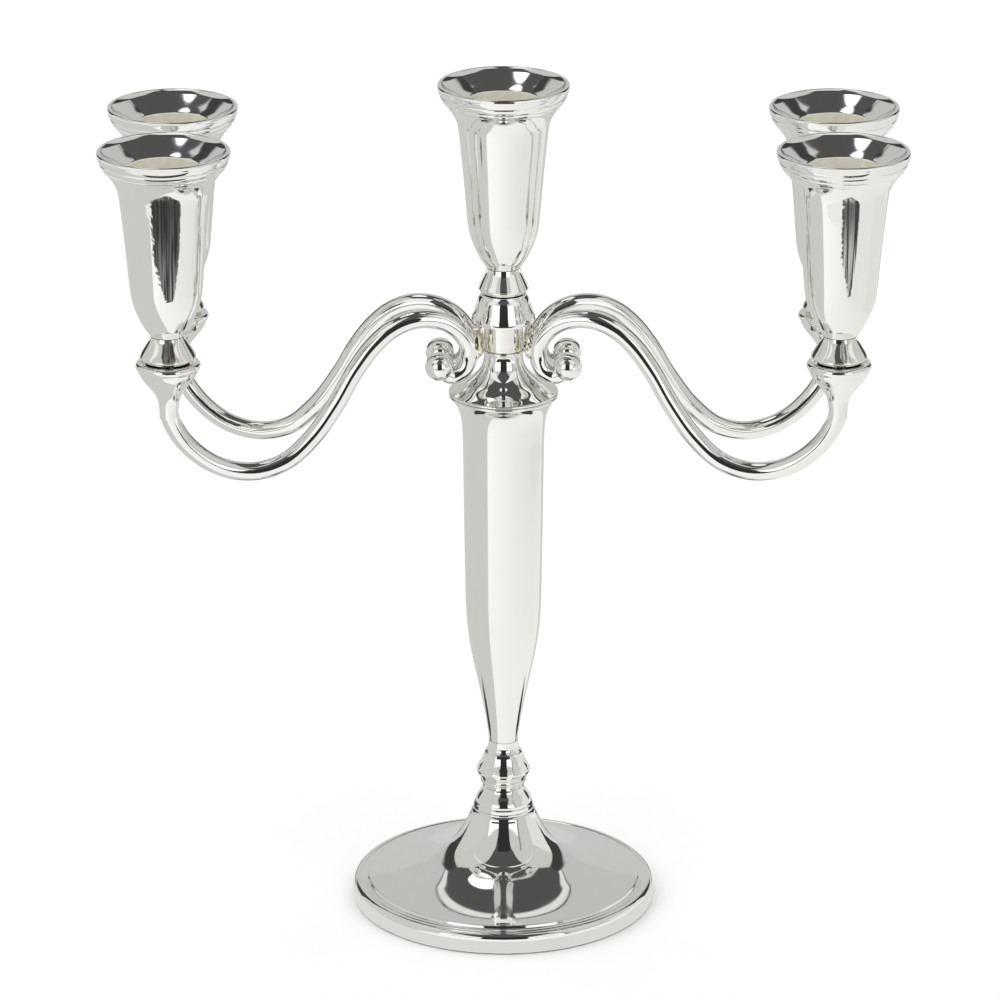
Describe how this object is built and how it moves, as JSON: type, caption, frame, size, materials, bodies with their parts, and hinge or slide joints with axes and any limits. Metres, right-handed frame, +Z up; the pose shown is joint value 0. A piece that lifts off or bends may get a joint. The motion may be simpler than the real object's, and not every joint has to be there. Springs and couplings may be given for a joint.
{
  "type": "candelabra",
  "caption": "Tabletop candelabra: a round foot and vase-shaped column carry a plug-in branch of curved arms with flared candle cups.",
  "frame": {"origin": "centre of the felt's underside, on the surface that the candelabra stands on", "axes": "+Z up along the column, +X to the right pair of arms, +Y to the back"},
  "size_m": [0.2508, 0.0978, 0.2749],
  "materials": {
    "silver_plate": "mirror-polished silver plate on brass",
    "zinc_steel": "plain zinc-plated rod, nuts and washer",
    "felt": "dark felt glued underneath"
  },
  "bodies": {
    "stand": {"base_foot": "silver_plate", "felt_pad": "felt", "clamp_washer": "zinc_steel", "base_nut": "zinc_steel", "tie_rod": "zinc_steel", "base_collar": "silver_plate", "lower_knop": "silver_plate", "column": "silver_plate", "column_socket": "silver_plate", "rod_nut": "zinc_steel"},
    "plug": {"socket_plug": "silver_plate"},
    "branch": {"branch_skirt": "silver_plate", "branch_hub": "silver_plate", "bell_cap": "silver_plate", "branch_stud": "zinc_steel", "stud_nut": "zinc_steel", "cup_centre": "silver_plate", "cup_centre_foot": "silver_plate", "arm_left_front": "silver_plate", "scroll_ball_left_front": "silver_plate", "pan_left_front": "silver_plate", "cup_stud_left_front": "zinc_steel", "cup_left_front_foot": "silver_plate", "cup_left_front": "silver_plate", "arm_left_back": "silver_plate", "scroll_ball_left_back": "silver_plate", "pan_left_back": "silver_plate", "cup_stud_left_back": "zinc_steel", "cup_left_back_foot": "silver_plate", "cup_left_back": "silver_plate", "arm_right_front": "silver_plate", "scroll_ball_right_front": "silver_plate", "pan_right_front": "silver_plate", "cup_stud_right_front": "zinc_steel", "cup_right_front_foot": "silver_plate", "cup_right_front": "silver_plate", "arm_right_back": "silver_plate", "scroll_ball_right_back": "silver_plate", "pan_right_back": "silver_plate", "cup_stud_right_back": "zinc_steel", "cup_right_back_foot": "silver_plate", "cup_right_back": "silver_plate"}
  },
  "joints": [
    {"name": "plug_lift", "type": "slide", "parent": "stand", "child": "plug", "axis": [0, 0, 1], "range_m": [0, 0.03]},
    {"name": "branch_turn", "type": "hinge", "parent": "plug", "child": "branch", "pos_m": [0, 0, 0.1734], "axis": [0, 0, 1], "continuous": true}
  ]
}
